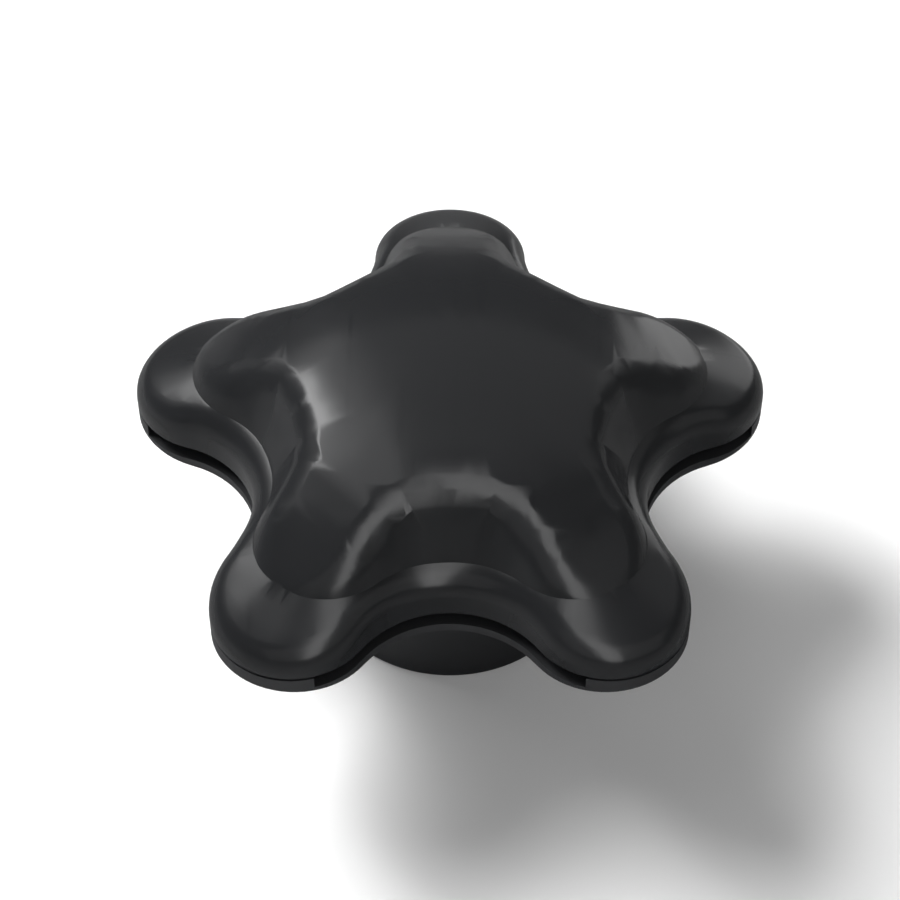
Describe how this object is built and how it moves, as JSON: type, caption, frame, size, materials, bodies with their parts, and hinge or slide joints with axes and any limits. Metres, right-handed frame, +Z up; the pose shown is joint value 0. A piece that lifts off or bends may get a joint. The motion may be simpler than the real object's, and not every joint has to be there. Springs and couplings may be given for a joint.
{
  "type": "star knob",
  "caption": "Lobed star knob in black plastic with a rounded rim, a raised scalloped crown and a round hub with a blind brass thread.",
  "frame": {"origin": "centre of the hub's foot, at the mouth of the thread", "axes": "+Z up along the thread's axis, from the hub's foot to the top of the crown; +Y through the middle of one lobe"},
  "size_m": [0.0606, 0.0584, 0.033],
  "materials": {
    "grip_plastic": "satin black, lightly polished by the mould",
    "hub_plastic": "satin black, a little duller than the grip",
    "brass": "turned, bare"
  },
  "bodies": {
    "root": {"grip": "grip_plastic", "hub": "hub_plastic", "threaded_insert": "brass"}
  },
  "joints": []
}
